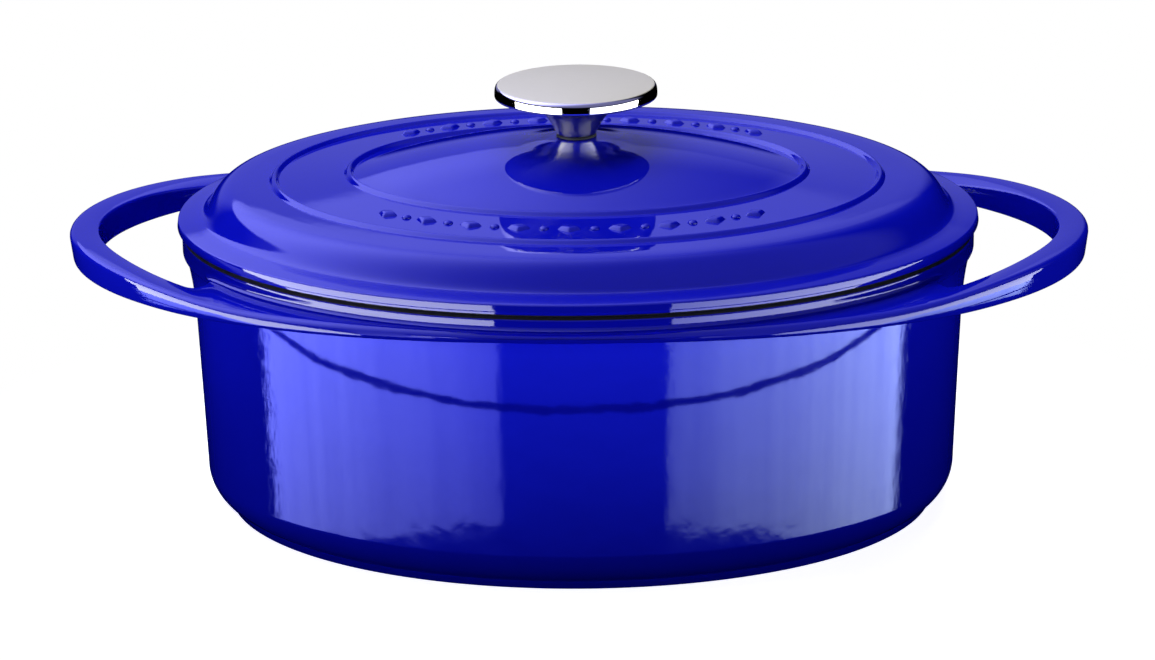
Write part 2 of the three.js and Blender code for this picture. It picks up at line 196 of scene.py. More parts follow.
def mirrored_cloth(name, near, far, side_edges):
    """A painted reflection of the soft box in the table: dimmer and bluer, ragged at its sides, over painted
    deep blue.
    """
    material = bpy.data.materials.new(name)
    tree = empty_tree(material)
    place, axes, share = turned_share(tree)
    height = axes.outputs["Z"]
    fine = add_node(tree, "ShaderNodeMapping", {
        "Vector": place.outputs["Object"], "Scale": (1 / ripple_width, 1 / ripple_width, 1 / ripple_height),
    })
    ripple = add_node(tree, "ShaderNodeTexNoise", {"Vector": fine, "Scale": 1.0, "Detail": 2.0})
    upright = add_node(tree, "ShaderNodeMapping", {
        "Vector": place.outputs["Object"], "Scale": folds_per_metre,
    })
    folds = add_node(tree, "ShaderNodeTexNoise", {"Vector": upright, "Scale": 1.0, "Detail": 3.0})

    # The azimuth, pushed about by the ripple, cuts the cloth off at its two sides.
    forward = add_node(tree, "ShaderNodeMath", {0: axes.outputs["Y"], 1: -1.0}, operation="MULTIPLY")
    azimuth = add_node(tree, "ShaderNodeMath", {0: axes.outputs["X"], 1: forward}, operation="ARCTAN2")
    wobble = add_node(tree, "ShaderNodeMath", {0: ripple, 1: 0.5}, operation="SUBTRACT")
    reach = add_node(tree, "ShaderNodeMapRange", {
        "Value": share, "To Min": ragged_near, "To Max": ragged_far,
    })
    ragged = add_node(tree, "ShaderNodeMath", {0: wobble, 1: reach, 2: azimuth}, operation="MULTIPLY_ADD")
    low_edge, high_edge = [math.radians(a) for a in side_edges]
    past_low = add_node(tree, "ShaderNodeMapRange", {
        "Value": ragged, "From Min": low_edge, "From Max": low_edge + edge_blur,
    })
    short_of_high = add_node(tree, "ShaderNodeMapRange", {
        "Value": ragged, "From Min": high_edge, "From Max": high_edge - edge_blur,
    })
    above_foot = add_node(tree, "ShaderNodeMapRange", {
        "Value": height, "From Min": mirror_foot, "From Max": mirror_foot + foot_blur,
    })
    fade = add_node(tree, "ShaderNodeMapRange", {
        "Value": height, "From Min": mirror_foot, "From Max": fade_top, "To Min": 0.8, "To Max": 1.3,
    })
    uneven = [
        add_node(tree, "ShaderNodeMapRange", {
            "Value": noise, "From Min": 0.25, "From Max": 0.75, "To Min": dimmest, "To Max": brightest,
        }) for noise in (ripple, folds)
    ]
    strength = add_node(tree, "ShaderNodeMapRange", {"Value": share, "To Min": near[1], "To Max": far[1]})
    for factor in (past_low, short_of_high, above_foot, fade, *uneven):
        strength = add_node(tree, "ShaderNodeMath", {0: strength, 1: factor}, operation="MULTIPLY")
    colour = add_node(tree, "ShaderNodeMix", {
        "Factor": share, "A": hex_colour(near[0]), "B": hex_colour(far[0]),
    }, data_type="RGBA")
    glow = add_node(tree, "ShaderNodeEmission", {"Color": colour.outputs["Result"], "Strength": strength})

    # Painted reflection of the table below its line: deep blue, darker downwards as painted shade, out to
    # the cloth's outer edge.
    painted_blue_reflection_level = add_node(tree, "ShaderNodeMapRange", {
        "Value": height, "From Min": painted_blue_reflection_foot, "From Max": table_line, "To Min": 0.0, "To Max": painted_blue_reflection_peak,
    })
    outer_edge = past_low if abs(low_edge) > abs(high_edge) else short_of_high
    painted_blue_reflection = add_node(tree, "ShaderNodeMath", {0: painted_blue_reflection_level, 1: outer_edge}, operation="MULTIPLY")
    painted_blue_reflection_glow = add_node(tree, "ShaderNodeEmission", {"Color": hex_colour(painted_blue_reflection_colour), "Strength": painted_blue_reflection})
    both = add_node(tree, "ShaderNodeAddShader", {0: glow, 1: painted_blue_reflection_glow})
    add_node(tree, "ShaderNodeOutputMaterial", {"Surface": both})
    material.cycles.emission_sampling = "NONE"
    return material


def screen(name, azimuths, heights, material):
    """A curved screen round the pot, between two azimuths from the front in degrees and two heights."""
    bm = bmesh.new()
    ends = [bm.verts.new((0, -screen_radius, z)) for z in heights]
    edge = bm.edges.new(ends)
    near, far = [math.radians(a) for a in azimuths]
    bmesh.ops.rotate(bm, cent=(0, 0, 0), matrix=Matrix.Rotation(near, 3, "Z"), verts=ends)
    bmesh.ops.spin(bm, geom=ends + [edge], cent=(0, 0, 0), axis=(0, 0, -1), angle=near - far, steps=32)
    return stage_object(name, bm, material)


# What the gloss sees of the soft boxes: a white upper part, and a dimmer blue painted reflection of them in
# the table. Between them the room is dark above the table's level; below it lies a painted deep blue
# reflection.
left_span = (-91, -18)
right_span = (21.5, 98)
above_table = (table_line, screen_top)
below_table = (screen_foot, table_line)
screen("screen_left", left_span, above_table,
       lit_cloth("white_cloth_left", near=("#e4e7ff", 8.5), far=("#eef0ff", 11)))
screen("screen_right", right_span, above_table,
       lit_cloth("white_cloth_right", near=("#bfc6ff", 5), far=("#dce1ff", 9)))
# These two cards glow only as a painted reflection of the soft boxes in the table.
screen("mirrored_left", (-100, 0), below_table,
       mirrored_cloth("mirrored_cloth_left", near=("#757dff", 4.1), far=("#949eff", 6.4),
                      side_edges=left_span))
screen("mirrored_right", (0, 107), below_table,
       mirrored_cloth("mirrored_cloth_right", near=("#9aabf4", 2.4), far=("#bfd3ec", 6.0),
                      side_edges=right_span))

# The round table's dark edge, which the polished wall shows as a curved line.
table_radius = 0.392
table_middle = (0, 0.114)
groove_width = 0.008
edge_bm = bmesh.new()
inner = edge_bm.verts.new((table_radius - groove_width / 2, 0, 0))
outer = edge_bm.verts.new((table_radius + groove_width / 2, 0, 0))
rung = edge_bm.edges.new((inner, outer))
bmesh.ops.spin(edge_bm, geom=[inner, outer, rung], cent=(0, 0, 0), axis=(0, 0, 1), angle=2 * math.pi,
               steps=128, use_merge=True)
bmesh.ops.translate(edge_bm, vec=(*table_middle, 0), verts=edge_bm.verts)
edge_material = bpy.data.materials.new("table_edge")
tree = empty_tree(edge_material)
edge_shader = add_node(tree, "ShaderNodeBsdfDiffuse", {"Color": hex_colour("#05050a")})
add_node(tree, "ShaderNodeOutputMaterial", {"Surface": edge_shader})
stage_object("table_edge", edge_bm, edge_material)


floor_gap = 0.0002


def flat_stage(name, radii, material):
    """A level ring of floor between two radii, just below the pot's foot."""
    bm = bmesh.new()
    ends = [bm.verts.new((r, 0, -floor_gap)) for r in radii]
    edge = bm.edges.new(ends)
    bmesh.ops.spin(bm, geom=ends + [edge], cent=(0, 0, 0), axis=(0, 0, 1), angle=2 * math.pi, steps=96,
                   use_merge=True)
    bmesh.ops.remove_doubles(bm, verts=bm.verts, dist=0.0001)
    bmesh.ops.translate(bm, vec=(*table_middle, 0), verts=bm.verts)
    bmesh.ops.recalc_face_normals(bm, faces=bm.faces)
    mesh = bpy.data.meshes.new(name)
    bm.to_mesh(mesh)
    bm.free()
    mesh.materials.append(material)
    material.cycles.emission_sampling = "NONE"
    ring = bpy.data.objects.new(name, mesh)
    bpy.context.scene.collection.objects.link(ring)
    ring.visible_glossy = False
    return ring


# The table: pale to the camera with the pot's own shadow on it, white towards its edge, and dark to the
# pot. Beyond it the floor is white to the camera and nothing to the lamps.
white_from, white_at = 0.18, 0.27
table_material = bpy.data.materials.new("pale_table")
tree = empty_tree(table_material)
place = add_node(tree, "ShaderNodeTexCoord")
distance = add_node(tree, "ShaderNodeVectorMath", {0: place.outputs["Object"]}, operation="LENGTH")
far_share = add_node(tree, "ShaderNodeMapRange", {
    "Value": distance.outputs["Value"], "From Min": white_from, "From Max": white_at,
}, interpolation_type="SMOOTHSTEP")
to_camera = add_node(tree, "ShaderNodeLightPath").outputs["Is Camera Ray"]
paint = add_node(tree, "ShaderNodeMix", {
    "Factor": to_camera, "A": hex_colour("#303034"), "B": hex_colour("#f4f4f4"),
}, data_type="RGBA")
near_glow = add_node(tree, "ShaderNodeMath", {0: to_camera, 1: 0.9}, operation="MULTIPLY")
matt = add_node(tree, "ShaderNodeBsdfDiffuse", {"Color": paint.outputs["Result"]})
near_light = add_node(tree, "ShaderNodeEmission", {"Strength": near_glow})
near_floor = add_node(tree, "ShaderNodeAddShader", {0: matt, 1: near_light})
far_floor = add_node(tree, "ShaderNodeEmission", {"Strength": to_camera})
blend = add_node(tree, "ShaderNodeMixShader", {"Fac": far_share, 1: near_floor, 2: far_floor})
add_node(tree, "ShaderNodeOutputMaterial", {"Surface": blend})
flat_stage("table", (0, table_radius), table_material)

floor_radius = 6
floor_material = bpy.data.materials.new("white_floor")
tree = empty_tree(floor_material)
path = add_node(tree, "ShaderNodeLightPath")
white = add_node(tree, "ShaderNodeEmission", {"Strength": path.outputs["Is Camera Ray"]})
add_node(tree, "ShaderNodeOutputMaterial", {"Surface": white})
floor = flat_stage("floor", (table_radius, floor_radius), floor_material)
floor.visible_diffuse = False
floor.visible_shadow = False


# The room: white to the camera and a soft grey ambience. The gloss sees a cool window glow at the upper
# left, a dim fill at the right and front, and the white backdrop's strip behind the pot.
window_aim = (-0.74, 0.2, 0.64)
backdrop_aim = (-0.2, 0.97, 0.2)
world = bpy.data.worlds.new("studio")
bpy.context.scene.world = world
tree = empty_tree(world)
direction = add_node(tree, "ShaderNodeTexCoord").outputs["Generated"]
axes = add_node(tree, "ShaderNodeSeparateXYZ", {"Vector": direction})
to_window, to_backdrop = [
    add_node(tree, "ShaderNodeVectorMath", {
        0: direction, 1: Vector(aim).normalized(),
    }, operation="DOT_PRODUCT")
    for aim in (window_aim, backdrop_aim)
]
lifted = add_node(tree, "ShaderNodeMath", {0: to_window.outputs["Value"], 1: 0.0}, operation="MAXIMUM")
window = add_node(tree, "ShaderNodeMath", {0: lifted, 1: 3.0}, operation="POWER")
fill = add_node(tree, "ShaderNodeMapRange", {
    "Value": axes.outputs["Y"], "From Min": 0.45, "From Max": 0.1,
}, interpolation_type="SMOOTHSTEP")
strip = add_node(tree, "ShaderNodeMapRange", {
    "Value": to_backdrop.outputs["Value"], "From Min": 0.86, "From Max": 0.97,
}, interpolation_type="SMOOTHSTEP")

# Each glow starts softly above a height of its own, and has its own brightness.
whole = 0.0
for glow, (dark_below, full_above), brightness in (
    (window, (0.33, 0.36), 6.0), (fill, (0.15, 0.35), 0.55), (strip, (0.0, 0.1), 0.6),
):
    risen = add_node(tree, "ShaderNodeMapRange", {
        "Value": axes.outputs["Z"], "From Min": dark_below, "From Max": full_above,
    }, interpolation_type="SMOOTHSTEP")
    patch = add_node(tree, "ShaderNodeMath", {0: glow, 1: risen}, operation="MULTIPLY")
    whole = add_node(tree, "ShaderNodeMath", {0: patch, 1: brightness, 2: whole}, operation="MULTIPLY_ADD")
gloss_light = add_node(tree, "ShaderNodeVectorMath", {
    0: hex_colour("#a2a4ff")[:3], "Scale": whole,
}, operation="SCALE")
path = add_node(tree, "ShaderNodeLightPath")
room = add_node(tree, "ShaderNodeMix", {
    "Factor": path.outputs["Is Glossy Ray"], "A": hex_colour("#505054"), "B": gloss_light,
}, data_type="RGBA")
clear = add_node(tree, "ShaderNodeMath", {
    0: path.outputs["Is Camera Ray"], 1: path.outputs["Is Transmission Ray"],
}, operation="MAXIMUM")
shown = add_node(tree, "ShaderNodeMix", {
    "Factor": clear, "A": room.outputs["Result"], "B": hex_colour("#ffffff"),
}, data_type="RGBA")
backdrop = add_node(tree, "ShaderNodeBackground", {"Color": shown.outputs["Result"], "Strength": 1.0})
add_node(tree, "ShaderNodeOutputWorld", {"Surface": backdrop})


# ---- Pot: the blue outside ----
# One sand casting with wall, floor, foot ring and thickened rim, sprayed with cobalt glass enamel and
# fired at about 800 degrees, so every edge is soft and the glass has a slight orange peel.

pot_high = 1000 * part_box("pot_casting")[1]
lid_high = 1000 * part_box("lid_casting")[1]
oval_shortfall = lid_high.x - lid_high.y
oval_steps = 288

lid_overhang = 1.6
rim_half = lid_high.x - lid_overhang
rim_width = 6.2
rim_round = 2.8
pot_height = pot_high.z
wall_half = 140.85
wall_draft = 0.037
wall_thickness = 4
base_thickness = 4.4
outer_corner = 14
inner_corner = 10
foot_inset = 7
foot_height = 1.6
foot_width = 6.5
foot_taper = 1.1
foot_inner_round = 0.8
foot_outer_round = 0.7
floor_blend = 60
belt_top = pot_height - 6
belt_thickness = 3.5
belt_bottom = belt_top - belt_thickness
rim_skirt = 2.1
rim_overhang = 1.2
skirt_round = 1.6
rim_foot = belt_top - rim_skirt
under_rim = rim_foot - rim_overhang
flare_depth = 25
flare_foot = under_rim - flare_depth
flare_end_x = 138
flare_blend = 20
belt_fillet = 2.2
under_fillet = 2.2
loop_drop = 2.1
opening_corner_x = rim_half - 15
mouth_half = rim_half - rim_width
mouth_round = 0.8
coat = 0.3


def wall_at(z):
    """Half length of the drafted wall at a height."""
    return wall_half + wall_draft * (z - foot_height - outer_corner)


def arc(centre, radius, start, end, steps):
    """Points of an arc in a profile's plane, with its angles in degrees from outwards towards up."""
    angles = [math.radians(start + (end - start) * i / steps) for i in range(steps + 1)]
    return [(centre[0] + radius * math.cos(a), centre[1] + radius * math.sin(a)) for a in angles]


def curve(start, pull_start, pull_end, end, steps):
    """Points of a Bezier curve in a profile's plane."""
    corners = [Vector((r, z, 0)) for r, z in (start, pull_start, pull_end, end)]
    return [(p.x, p.y) for p in interpolate_bezier(*corners, steps)]


def pot_shortfall(r, z):
    """How much narrower than long the pot's oval of half length r is; its middle closes to a point."""
    return oval_shortfall * min(1, r / floor_blend)


def spin_oval(profile, shortfall, closed=False, steps=oval_steps):
    """Turns a profile of (half length, height) points round Z and squeezes it across into an oval."""
    bm = bmesh.new()
    verts = [bm.verts.new((r, 0, z)) for r, z in profile]
    pairs = list(zip(verts, verts[1:])) + ([(verts[-1], verts[0])] if closed else [])
    edges = [bm.edges.new(pair) for pair in pairs]
    bmesh.ops.spin(bm, geom=verts + edges, cent=(0, 0, 0), axis=(0, 0, 1), angle=2 * math.pi, steps=steps,
                   use_merge=True)
    bmesh.ops.remove_doubles(bm, verts=bm.verts, dist=0.001)
    for vert in bm.verts:
        r = math.hypot(vert.co.x, vert.co.y)
        if r > 0.01:
            vert.co.y *= 1 - shortfall(r, vert.co.z) / r
    bmesh.ops.recalc_face_normals(bm, faces=bm.faces)
    return bm


def new_piece(name, bm, material, sharp=35):
    """A mesh object from a bmesh in millimetres, smooth but for edges sharper than an angle in degrees."""
    bmesh.ops.scale(bm, vec=(0.001, 0.001, 0.001), verts=bm.verts)
    for face in bm.faces:
        face.smooth = True
    for edge in bm.edges:
        edge.smooth = edge.calc_face_angle(0) < math.radians(sharp)
    mesh = bpy.data.meshes.new(name)
    bm.to_mesh(mesh)
    bm.free()
    mesh.materials.append(material)
    piece = bpy.data.objects.new(name, mesh)
    bpy.context.scene.collection.objects.link(piece)
    return piece


# Cobalt glass enamel: deep saturated blue under a clear glossy skin. The skin ripples over 2 to 4 mm
# (orange peel) and dips faintly over 25 mm where the sand mould was uneven.
enamel_ior = 1.52
peel_width = 0.0030
swell_width = 0.022


def enamel(name, colour_low, colour_high, roughness, peel, swell):
    """Glossy or matt glass enamel of two close shades, with orange peel and a slow swell, both in metres."""
    material = bpy.data.materials.new(name)
    tree = empty_tree(material)
    place = add_node(tree, "ShaderNodeTexCoord").outputs["Object"]
    cloud = add_node(tree, "ShaderNodeTexNoise", {
        "Vector": place, "Scale": 1 / swell_width, "Detail": 2.0, "Roughness": 0.5,
    })
    shade = add_node(tree, "ShaderNodeMix", {
        "Factor": cloud, "A": hex_colour(colour_low), "B": hex_colour(colour_high),
    }, data_type="RGBA")
    ripple = add_node(tree, "ShaderNodeTexNoise", {
        "Vector": place, "Scale": 1 / peel_width, "Detail": 1.0, "Roughness": 0.4,
    })
    slow = add_node(tree, "ShaderNodeBump", {"Height": cloud, "Distance": swell, "Strength": 1.0})
    fine = add_node(tree, "ShaderNodeBump", {
        "Height": ripple, "Distance": peel, "Strength": 1.0, "Normal": slow,
    })
    gloss = add_node(tree, "ShaderNodeMapRange", {
        "Value": ripple, "To Min": roughness * 0.8, "To Max": roughness * 1.3,
    })
    shader = add_node(tree, "ShaderNodeBsdfPrincipled", {
        "Base Color": shade.outputs["Result"], "Roughness": gloss, "IOR": enamel_ior, "Normal": fine,
    })
    add_node(tree, "ShaderNodeOutputMaterial", {"Surface": shader})
    return material


cobalt_enamel = enamel("cobalt_glass_enamel", "#080eba", "#0b12c2", roughness=0.035, peel=0.000004,
                       swell=0.00006)


def inside_profile(offset):
    """The pot's inside from the floor's middle up to the mouth, moved into the metal by an offset."""
    corner_top = foot_height + base_thickness + inner_corner
    corner_centre = (wall_at(corner_top) - wall_thickness - inner_corner, corner_top)
    return [
        (0, foot_height + base_thickness - offset),
        (corner_centre[0] * 0.5, foot_height + base_thickness - offset),
        *arc(corner_centre, inner_corner + offset, -90, 0, 12),
        (mouth_half + offset, pot_height - 4),
        *arc((mouth_half + mouth_round, pot_height - mouth_round), mouth_round - offset, 180, 90, 5),
    ]


def outside_profile():
    """The pot's outside from the floor's middle down over the foot ring and up to the top of the rim."""
    corner_centre = (wall_half - outer_corner, foot_height + outer_corner)
    foot_half = wall_half - foot_inset
    foot_angle = -math.degrees(math.acos((foot_half - corner_centre[0]) / outer_corner))
    return [
        (0, foot_height),
        (foot_half - foot_width - foot_height, foot_height),
        *arc((foot_half - foot_width + foot_inner_round, foot_inner_round), foot_inner_round, 190, 270, 3),
        *arc((foot_half - foot_taper - foot_outer_round, foot_outer_round), foot_outer_round, 270, 330, 4),
        *arc(corner_centre, outer_corner, foot_angle, 0, 14),
        *[(wall_at(z), z) for z in (40, 50, 57, 64)],
        *curve((wall_at(flare_foot), flare_foot), (wall_at(flare_foot + 8), flare_foot + 8),
               (wall_at(under_rim - 7) + 0.5, under_rim - 7), (rim_half - rim_overhang, under_rim), 12),
        *arc((rim_half - skirt_round, rim_foot + 0.4), skirt_round, -38, 0, 4),
        *[(rim_half, belt_top + lift) for lift in (0, 0.35, 0.8, 1.4, 2.2)],
        *arc((rim_half - rim_round, pot_height - rim_round), rim_round, 0, 90, 8),
    ]


pot_bm = spin_oval(outside_profile() + inside_profile(coat)[::-1], pot_shortfall)


def fillet_reach(z):
    """How far the wall flares out to meet the belt at a height."""
    if belt_top - 1 < z < belt_top + belt_fillet:
        near = belt_top + belt_fillet - max(z, belt_top)
        return belt_fillet - math.sqrt(max(0, belt_fillet ** 2 - near ** 2))
    if belt_bottom - under_fillet < z < belt_bottom + 0.5:
        near = min(z, belt_bottom) - belt_bottom + under_fillet
        return under_fillet - math.sqrt(max(0, under_fillet ** 2 - near ** 2))
    return 0


# The wall flares out only at the ends, under the loops. Along the sides it runs straight up.
for vert in pot_bm.verts:
    x, y, z = vert.co
    beyond_wall = math.hypot(x / wall_at(z), y / (wall_at(z) - oval_shortfall))
    if flare_foot < z < belt_bottom + 0.6 and beyond_wall > 1:
        share = max(0, min(1, (flare_end_x - abs(x)) / flare_blend))
        vert.co.x += (x / beyond_wall - x) * share
        vert.co.y += (y / beyond_wall - y) * share

# A small fillet joins the wall to the belt, above it and below it, but not inside the loops.
for vert in pot_bm.verts:
    x, y, z = vert.co
    if z > 80 and math.hypot(x / mouth_half, y / (mouth_half - oval_shortfall)) > 1.01:
        beside = max(0, min(1, (opening_corner_x + 1 - abs(x)) / 4))
        slope = Vector((x / rim_half ** 2, y / (rim_half - oval_shortfall) ** 2, 0)).normalized()
        vert.co += slope * fillet_reach(z) * beside

pot_outside = new_piece("pot_outside", pot_bm, cobalt_enamel)
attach(pot_outside, "pot")
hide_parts("pot_casting")


# ---- Belt and loop handles ----
# A flat belt under the rim runs out at each end into a broad loop that two fingers fit through. It is
# cast in one with the pot, and the same cobalt enamel runs over it.

loop_half = pot_high.x
belt_half_width = pot_high.y
loop_rise = 5.7
loop_rise_run = 92
web_run = 28
bar_width_end = 11.2
bar_width_side = 14
loop_corner = 8
plate_depth = 12
top_round = 2.3
bottom_round = 1.6
opening_round = 1.0
side_draft = 0.17
front_lean = 0.9


def smoothstep(value, low, high):
    """Rises softly from 0 to 1 while a value goes from low to high."""
    share = max(0, min(1, (value - low) / (high - low)))
    return share * share * (3 - 2 * share)


def belt_top_at(x, y):
    """Height of the belt's top: level beside the rim, and rising outwards and along the loops."""
    share = math.hypot(x / rim_half, y / (rim_half - oval_shortfall))
    outside = math.hypot(x, y) * (1 - 1 / max(share, 0.5))
    climb = smoothstep(abs(x), loop_half - loop_rise_run, loop_half) * smoothstep(outside, 0, web_run)
    return belt_top + loop_rise * climb


def belt_bottom_at(x):
    """Height of the belt's underside, which drops a little towards the loops."""
    return belt_bottom - loop_drop * min(1, abs(x) / mouth_half)


def ellipse(a, b, start, end, steps):
    """Points along an ellipse between two of its angles, in radians from the loop's end."""
    angles = [start + (end - start) * i / steps for i in range(steps + 1)]
    return [Vector((a * math.cos(t), b * math.sin(t), 0)) for t in angles]


def along(a, b, angle):
    """Direction of an ellipse at an angle."""
    return Vector((-a * math.sin(angle), b * math.cos(angle), 0)).normalized()


# A quarter of the plate lies between two paths: outside, and inside along the hidden wall, round the
# opening's corner and along the bar.
wall_a = wall_at(belt_bottom) - wall_thickness / 2
wall_b = wall_a - oval_shortfall
opening_a = loop_half - bar_width_end
opening_b = belt_half_width - bar_width_side
arc_end = math.acos((opening_corner_x + 0.75 * loop_corner) / opening_a)
wall_end = math.acos(opening_corner_x / wall_a)
bar_path = ellipse(opening_a, opening_b, 0, arc_end, 44)
wall_path = ellipse(wall_a, wall_b, wall_end, math.pi / 2, 36)
bend_path = interpolate_bezier(
    bar_path[-1], bar_path[-1] + along(opening_a, opening_b, arc_end) * loop_corner,
    wall_path[0] + along(wall_a, wall_b, wall_end) * loop_corner, wall_path[0], 17,
)
inner_path = bar_path + bend_path[1:-1] + wall_path
corner_from = math.acos(min(1, (opening_corner_x + 4) / loop_half))
corner_to = math.acos((opening_corner_x - 12) / loop_half)
outer_path = (
    ellipse(loop_half, belt_half_width, 0, corner_from, 44)
    + ellipse(loop_half, belt_half_width, corner_from, corner_to, 16)[1:-1]
    + ellipse(loop_half, belt_half_width, corner_to, math.pi / 2, 36)
)

belt_bm = bmesh.new()
chains = []
for points in (inner_path, outer_path):
    verts = [belt_bm.verts.new(p) for p in points]
    chains += [belt_bm.edges.new(pair) for pair in zip(verts, verts[1:])]
strip = bmesh.ops.bridge_loops(belt_bm, edges=chains)["faces"]
grown = bmesh.ops.extrude_face_region(belt_bm, geom=strip)["geom"]
grown_verts = [g for g in grown if isinstance(g, bmesh.types.BMVert)]
bmesh.ops.translate(belt_bm, vec=(0, 0, plate_depth), verts=grown_verts)
belt_bm.normal_update()
ends = [f for f in belt_bm.faces if abs(f.normal.z) < 0.5
        and (all(abs(v.co.x) < 0.01 for v in f.verts) or all(abs(v.co.y) < 0.01 for v in f.verts))]
bmesh.ops.delete(belt_bm, geom=ends, context="FACES_ONLY")

# Edges of the plate within the first share of the wall's oval are hidden in the wall. Those beyond the
# second share of the plate's own oval are its outside, and the rest line the openings.
hidden_within = 1.03
outside_beyond = 0.985


def rim_edges(high, outer):
    """Edges along the plate's top or bottom, outside or inside."""
    chosen = []
    for e in belt_bm.edges:
        first, second = [v.co for v in e.verts]
        if len(e.link_faces) != 2 or abs(first.z - second.z) > 0.01:
            continue
        flat = [f for f in e.link_faces if abs(f.normal.z) > 0.9]
        if len(flat) == 1 and (first.z > plate_depth / 2) == high:
            middle = (first + second) / 2
            seen = math.hypot(middle.x / wall_a, middle.y / wall_b) > hidden_within
            outside = math.hypot(middle.x / loop_half, middle.y / belt_half_width) > outside_beyond
            if seen and outside == outer:
                chosen.append(e)
    return chosen


belt_bm.normal_update()
for high, outer, rounding in ((True, True, top_round), (False, True, bottom_round),
                              (True, False, opening_round), (False, False, opening_round * 0.6)):
    bmesh.ops.bevel(belt_bm, geom=rim_edges(high, outer), offset=rounding, segments=5, profile=0.5,
                    affect="EDGES", material=-1)
    belt_bm.normal_update()
many_sided = [f for f in belt_bm.faces if len(f.verts) > 4]
bmesh.ops.triangulate(belt_bm, faces=many_sided, quad_method="BEAUTY", ngon_method="BEAUTY")

# The loops' outer faces draw in downwards and the belt's edge leans back. Then the level plate is given
# its real heights, and its roundings keep their size.
for vert in belt_bm.verts:
    x, y, z = vert.co
    if math.hypot(x / loop_half, y / belt_half_width) > 0.97:
        extra_depth = belt_top_at(x, y) - belt_bottom_at(x) - belt_thickness
        outward = Vector((x / loop_half ** 2, y / belt_half_width ** 2, 0)).normalized()
        lean = front_lean * (1 - smoothstep(extra_depth, 0.5, 3))
        vert.co -= outward * (side_draft * extra_depth * (plate_depth - z) + lean * z) / plate_depth
    low = belt_bottom_at(x) + min(z, bottom_round)
    high = belt_top_at(x, y) - min(plate_depth - z, top_round)
    share = (z - bottom_round) / (plate_depth - top_round - bottom_round)
    vert.co.z = low + (high - low) * max(0, min(1, share))
for axis in "XY":
    half = belt_bm.verts[:] + belt_bm.edges[:] + belt_bm.faces[:]
    bmesh.ops.mirror(belt_bm, geom=half, axis=axis, merge_dist=0.01)
bmesh.ops.recalc_face_normals(belt_bm, faces=belt_bm.faces)
belt_and_loops = new_piece("belt_and_loops", belt_bm, cobalt_enamel)
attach(belt_and_loops, "pot")
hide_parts("pot_casting")


# ---- Pot lining and rim ----
# The inside is sprayed with a cream enamel. The rim, where the two colours would meet and the lid rests,
# carries a matt black enamel that is thin and slightly rough.

def coat_shell(profile, shortfall, thickness):
    """A thin closed shell of enamel whose seen face is the profile."""
    bm = spin_oval(profile, shortfall)
    if sum(f.normal.z for f in bm.faces) < 0:
        bmesh.ops.reverse_faces(bm, faces=bm.faces)
    bmesh.ops.solidify(bm, geom=bm.faces[:], thickness=thickness)
    bmesh.ops.recalc_face_normals(bm, faces=bm.faces)
    return bm


cream_enamel = enamel("cream_glass_enamel", "#d9cdb2", "#e0d6bd", roughness=0.1, peel=0.000008,
                      swell=0.00005)
lining = new_piece("pot_lining", coat_shell(inside_profile(0)[:-5], pot_shortfall, coat * 1.3), cream_enamel)
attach(lining, "pot")
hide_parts("pot_casting")

band_lift = 0.1
band_start = 24
rim_profile = [
    *arc((rim_half - rim_round, pot_height - rim_round), rim_round + band_lift, band_start, 90, 6),
    *arc((mouth_half + mouth_round, pot_height - mouth_round), mouth_round + band_lift, 90, 180, 6),
    (mouth_half - band_lift, pot_height - 3),
]
black_enamel = enamel("matt_black_enamel", "#030304", "#060607", roughness=0.75, peel=0.00001,
                      swell=0.00003)
black_enamel.node_tree.nodes["Principled BSDF"].inputs["Specular IOR Level"].default_value = 0.15
rim_band = new_piece("rim_band", coat_shell(rim_profile, pot_shortfall, coat), black_enamel)
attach(rim_band, "pot")
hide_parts("pot_casting")


# ---- Lid: the blue outside ----
# A second casting: a square edge over the rim, a flat flange, a steep rounded shoulder, and three gently
# rising panels parted by two raised ovals. The middle panel is a low dome with a boss for the knob.

ring_shortfall = 24
lid_seat = pot_height + 0.3
lid_half = lid_high.x
lid_edge_top = lid_seat + 4.1
edge_round = 0.9
edge_lean = 0.25
drip_inset = 1.2
drip_height = 1.0
drip_round = 0.4
lip_clearance = 1.4
lip_width = 3.2
lip_depth = 4.8
lip_round = 1
flange_foot = lid_half - 8.6
flange_top = lid_edge_top + 1.3
shoulder_width = 13.4
shoulder_rise = 10.9
shoulder_half = flange_foot - shoulder_width
shoulder_top = flange_top + shoulder_rise
outer_ring = shoulder_half - 14.4
outer_ring_base = shoulder_top + 0.8
inner_band_rise = 2.2
inner_ring = outer_ring - 27.8
inner_ring_base = outer_ring_base + inner_band_rise
ring_width = 5.4
ridge_width = 3.6
ring_relief = 1.5
dome_half = inner_ring - ring_width / 2
dome_rise = 11.8
dome_sharpness = 1.7
dome_top = inner_ring_base + dome_rise
boss_radius = 9.2
boss_foot = 10
boss_blend = 22
boss_top = lid_high.z
screw_hole = 3.6
lid_thickness = 4.2
lid_under = dome_top - lid_thickness


def lid_shortfall(r, z):
    """The lid's edge runs parallel to the rim, and its panels grow rounder towards the knob."""
    if r >= flange_foot or z < lid_seat + 0.3:
        return oval_shortfall
    if r >= shoulder_half:
        share = (r - shoulder_half) / (flange_foot - shoulder_half)
        return ring_shortfall + (oval_shortfall - ring_shortfall) * share
    if r >= inner_ring:
        return ring_shortfall
    return ring_shortfall * max(0, (r - boss_foot) / (inner_ring - boss_foot))


def panel_at(r):
    """Height of the lid's panels inside the outer ring."""
    if r > inner_ring:
        return outer_ring_base + inner_band_rise * (outer_ring - r) / (outer_ring - inner_ring)
    share = max(0, min(1, (r - boss_foot) / (dome_half - boss_foot)))
    return dome_top - dome_rise * share ** dome_sharpness


def steps_to(start, end, count):
    """Evenly spaced values from the first after a start up to an end."""
    return [start + (end - start) * i / count for i in range(1, count + 1)]


